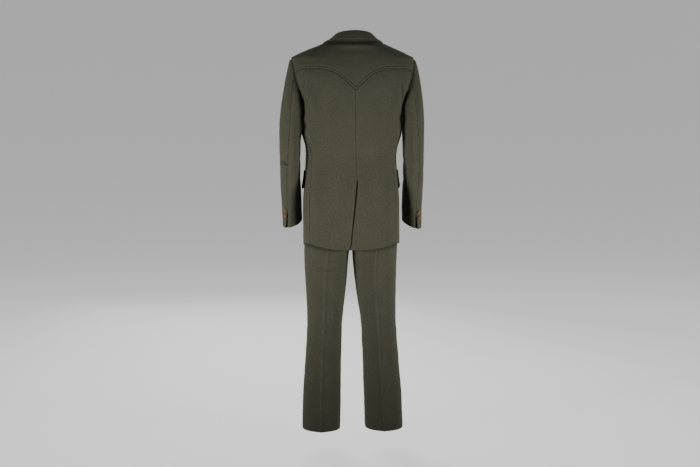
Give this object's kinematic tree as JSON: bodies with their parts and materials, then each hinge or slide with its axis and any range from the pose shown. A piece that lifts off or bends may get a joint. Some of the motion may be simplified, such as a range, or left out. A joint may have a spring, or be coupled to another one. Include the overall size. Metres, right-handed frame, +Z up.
{
  "type": "western suit",
  "caption": "Western suit worn open at the neck: a jacket with a pointed back yoke and a back vent, over straight trousers with pressed creases.",
  "frame": {"origin": "the middle of the neck opening, level with the neck ends of the shoulder seams, where the wearer's shoulders carry the suit", "axes": "+Z up, the front faces -Y, and the wearer's left is +X"},
  "size_m": [0.5372, 0.2846, 1.4813],
  "materials": {
    "wool_suiting": "olive green wool twill, dry and matt",
    "button": "moulded brown plastic that looks like horn, satin"
  },
  "bodies": {
    "root": {"back_left": "wool_suiting", "back_right": "wool_suiting", "back_yoke": "wool_suiting", "collar": "wool_suiting", "fly": "wool_suiting", "front_left": "wool_suiting", "front_right": "wool_suiting", "jacket_button_1": "button", "jacket_button_2": "button", "lapel_left": "wool_suiting", "lapel_right": "wool_suiting", "left_cuff_button_1": "button", "left_cuff_button_2": "button", "left_leg_back": "wool_suiting", "left_leg_front": "wool_suiting", "left_sleeve_under": "wool_suiting", "left_sleeve_upper": "wool_suiting", "pocket_flap_left": "wool_suiting", "pocket_flap_right": "wool_suiting", "right_cuff_button_1": "button", "right_cuff_button_2": "button", "right_leg_back": "wool_suiting", "right_leg_front": "wool_suiting", "right_sleeve_under": "wool_suiting", "right_sleeve_upper": "wool_suiting", "waistband": "wool_suiting", "waistband_button": "button"}
  },
  "joints": []
}
